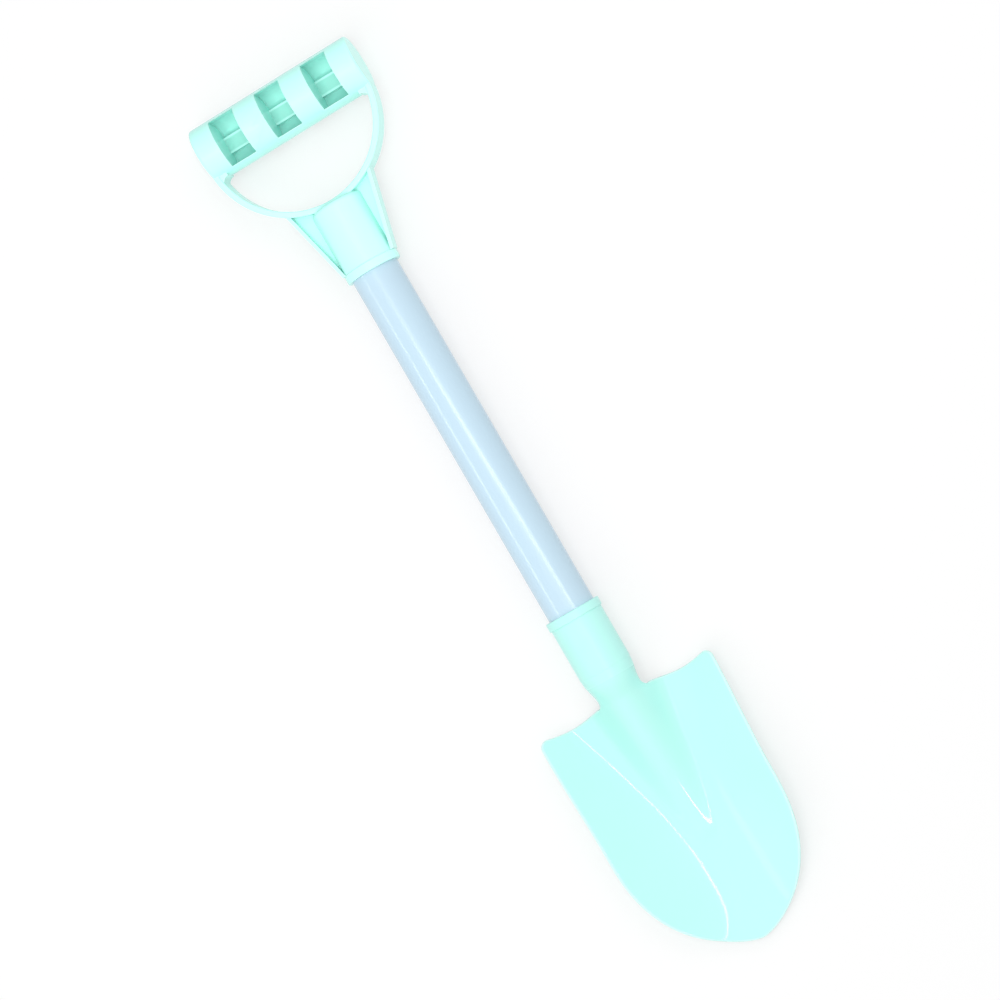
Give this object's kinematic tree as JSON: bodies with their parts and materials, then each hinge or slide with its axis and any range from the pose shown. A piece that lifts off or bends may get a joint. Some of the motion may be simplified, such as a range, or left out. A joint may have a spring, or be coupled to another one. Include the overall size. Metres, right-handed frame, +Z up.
{
  "type": "sand shovel",
  "caption": "Child's sand shovel: dished round-point blade with a hollow centre ridge, straight tube shaft and a cored D-handle, pressed together in line.",
  "frame": {"origin": "on the ground, at the middle of the shovel's length and width, with the shovel lying on its back", "axes": "+Y along the shaft towards the handle, +Z up out of the hollow of the blade, +X to the right"},
  "size_m": [0.1012, 0.4988, 0.03],
  "materials": {
    "mint_plastic": "glossy injection-moulded polypropylene, pale mint green",
    "pale_blue_plastic": "glossy extruded tube, pale grey-blue"
  },
  "bodies": {
    "root": {"blade": "mint_plastic", "shaft_tube": "pale_blue_plastic", "d_handle": "mint_plastic"}
  },
  "joints": []
}
